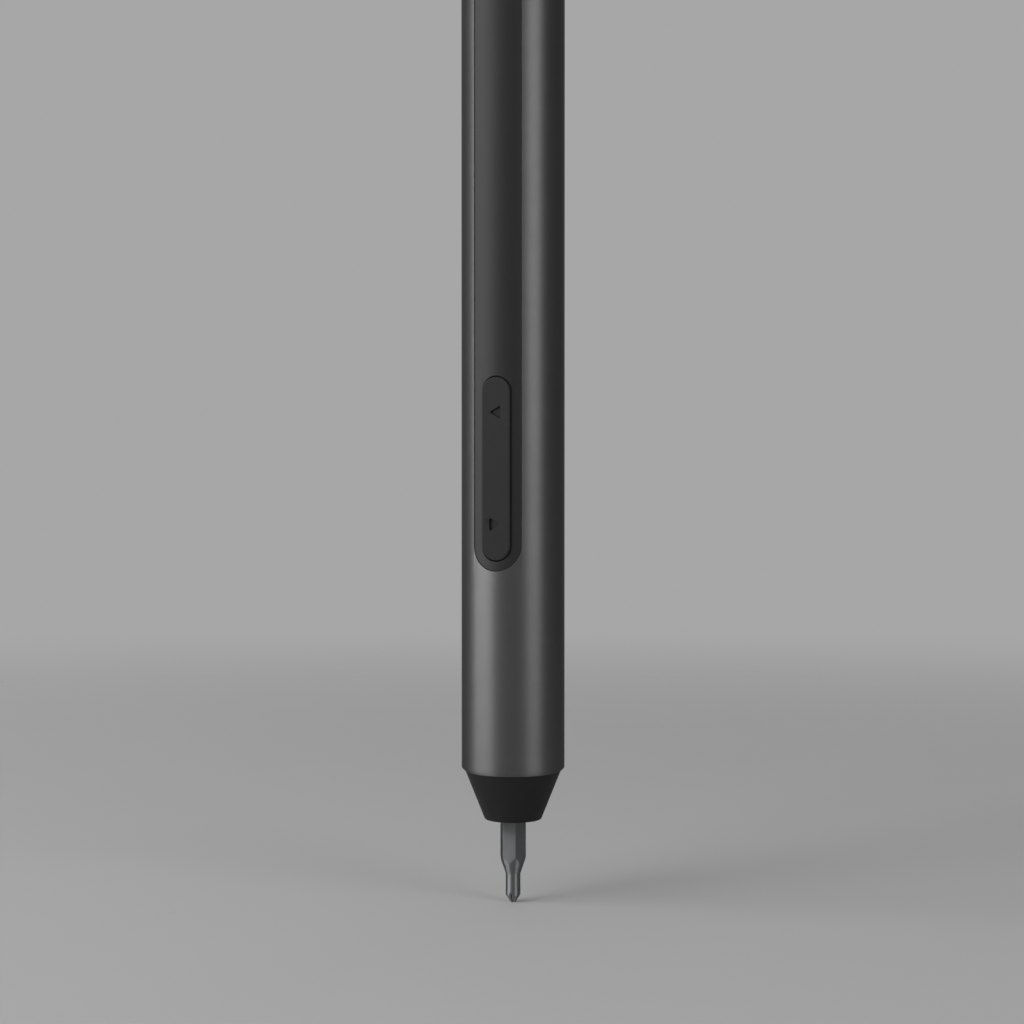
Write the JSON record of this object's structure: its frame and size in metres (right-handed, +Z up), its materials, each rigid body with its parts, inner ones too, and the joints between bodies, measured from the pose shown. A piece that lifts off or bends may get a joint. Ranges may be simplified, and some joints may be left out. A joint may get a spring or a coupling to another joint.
{
  "type": "pen-style electric screwdriver",
  "caption": "Slim round electric screwdriver with a metal barrel, an inlaid black panel with a rocker button, a tapered nose and a removable hex driver bit on a planetary gear motor.",
  "frame": {"origin": "end of the driver bit's tip, on the tool's axis", "axes": "+Z up the tool's axis from the tip to the end cap, -Y out of the face with the panel and the rocker button, +X to the right as that face is seen"},
  "size_m": [0.0176, 0.0174, 0.174],
  "materials": {
    "anodised_barrel": "satin, dark grey anodised",
    "black_plastic": "fine matte",
    "bit_steel": "satin, turned",
    "bright_steel": "machined",
    "gear_steel": "sintered",
    "bronze": "sintered",
    "motor_steel": "plated sheet",
    "core_iron": "dark",
    "chassis_plastic": "moulded",
    "board_green": "satin",
    "cell_wrap": "shrink film over a metal can",
    "lead_rubber": "satin"
  },
  "bodies": {
    "housing": {"body_tube": "anodised_barrel", "nose_cone": "black_plastic", "panel_strip": "black_plastic", "end_cap": "black_plastic", "port_shell": "bright_steel", "port_tongue": "chassis_plastic", "charge_board": "board_green", "front_chassis": "chassis_plastic", "rear_chassis": "chassis_plastic", "chassis_screws": "bright_steel", "gear_case": "gear_steel", "front_bush": "bronze", "rear_bush": "bronze", "thrust_washer": "bright_steel", "motor_plate": "motor_steel", "motor_screws": "bright_steel", "motor_can": "motor_steel", "motor_end_bell": "chassis_plastic", "motor_terminals": "bright_steel", "motor_magnets": "core_iron", "motor_leads": "lead_rubber", "battery_cell": "cell_wrap", "cell_contacts": "bright_steel", "cell_leads": "lead_rubber", "charge_leads": "lead_rubber", "main_board": "board_green", "board_chips": "chassis_plastic", "switch_lower": "bright_steel", "switch_upper": "bright_steel", "rocker_pin": "bright_steel"},
    "rotor": {"motor_shaft": "bright_steel", "motor_pinion": "gear_steel", "motor_armature": "core_iron", "motor_commutator": "bronze"},
    "first_stage": {"first_carrier": "gear_steel", "first_pins": "gear_steel"},
    "output_stage": {"spindle": "bright_steel", "bit_magnet": "core_iron", "output_carrier": "gear_steel", "output_pins": "gear_steel"},
    "bit": {"driver_bit": "bit_steel"},
    "rocker": {"rocker_button": "black_plastic"},
    "lower_plunger": {"plunger_lower": "chassis_plastic"},
    "upper_plunger": {"plunger_upper": "chassis_plastic"},
    "first_planet_1": {"first_planet_1": "gear_steel"},
    "first_planet_2": {"first_planet_2": "gear_steel"},
    "first_planet_3": {"first_planet_3": "gear_steel"},
    "output_planet_1": {"output_planet_1": "gear_steel"},
    "output_planet_2": {"output_planet_2": "gear_steel"},
    "output_planet_3": {"output_planet_3": "gear_steel"}
  },
  "joints": [
    {"name": "motor_spin", "type": "hinge", "parent": "housing", "child": "rotor", "pos_m": [0, 0, 0.048], "axis": [0, 0, 1], "continuous": true},
    {"name": "first_stage_spin", "type": "hinge", "parent": "housing", "child": "first_stage", "pos_m": [0, 0, 0.037], "axis": [0, 0, 1], "continuous": true},
    {"name": "spindle_spin", "type": "hinge", "parent": "housing", "child": "output_stage", "pos_m": [0, 0, 0.022], "axis": [0, 0, 1], "continuous": true},
    {"name": "first_planet_1_spin", "type": "hinge", "parent": "first_stage", "child": "first_planet_1", "pos_m": [0.0039, 0, 0.0395], "axis": [0, 0, 1], "continuous": true},
    {"name": "first_planet_2_spin", "type": "hinge", "parent": "first_stage", "child": "first_planet_2", "pos_m": [-0.00195, 0.00338, 0.0395], "axis": [0, 0, 1], "continuous": true},
    {"name": "first_planet_3_spin", "type": "hinge", "parent": "first_stage", "child": "first_planet_3", "pos_m": [-0.00195, -0.00338, 0.0395], "axis": [0, 0, 1], "continuous": true},
    {"name": "output_planet_1_spin", "type": "hinge", "parent": "output_stage", "child": "output_planet_1", "pos_m": [0.0039, 0, 0.0345], "axis": [0, 0, 1], "continuous": true},
    {"name": "output_planet_2_spin", "type": "hinge", "parent": "output_stage", "child": "output_planet_2", "pos_m": [-0.00195, 0.00338, 0.0345], "axis": [0, 0, 1], "continuous": true},
    {"name": "output_planet_3_spin", "type": "hinge", "parent": "output_stage", "child": "output_planet_3", "pos_m": [-0.00195, -0.00338, 0.0345], "axis": [0, 0, 1], "continuous": true},
    {"name": "bit_pull", "type": "slide", "parent": "output_stage", "child": "bit", "axis": [0, 0, -1], "range_m": [0, 0.015]},
    {"name": "rocker_tilt", "type": "hinge", "parent": "housing", "child": "rocker", "pos_m": [0, -0.0049, 0.07375], "axis": [1, 0, 0], "range_deg": [-1.5, 1.5], "stiffness_Nm_per_rad": 0.4},
    {"name": "lower_plunger_press", "type": "slide", "parent": "housing", "child": "lower_plunger", "axis": [0, 1, 0], "range_m": [-0.00025, 0.00025]},
    {"name": "upper_plunger_press", "type": "slide", "parent": "housing", "child": "upper_plunger", "axis": [0, 1, 0], "range_m": [-0.00025, 0.00025]}
  ],
  "couplings": [
    {"joint": "first_stage_spin", "follows": "motor_spin", "ratio": 0.16667},
    {"joint": "spindle_spin", "follows": "motor_spin", "ratio": 0.027778},
    {"joint": "first_planet_1_spin", "follows": "motor_spin", "ratio": -0.41667},
    {"joint": "first_planet_2_spin", "follows": "motor_spin", "ratio": -0.41667},
    {"joint": "first_planet_3_spin", "follows": "motor_spin", "ratio": -0.41667},
    {"joint": "output_planet_1_spin", "follows": "motor_spin", "ratio": -0.069444},
    {"joint": "output_planet_2_spin", "follows": "motor_spin", "ratio": -0.069444},
    {"joint": "output_planet_3_spin", "follows": "motor_spin", "ratio": -0.069444},
    {"joint": "lower_plunger_press", "follows": "rocker_tilt", "m_per_rad": 0.0093},
    {"joint": "upper_plunger_press", "follows": "rocker_tilt", "m_per_rad": -0.0093}
  ]
}
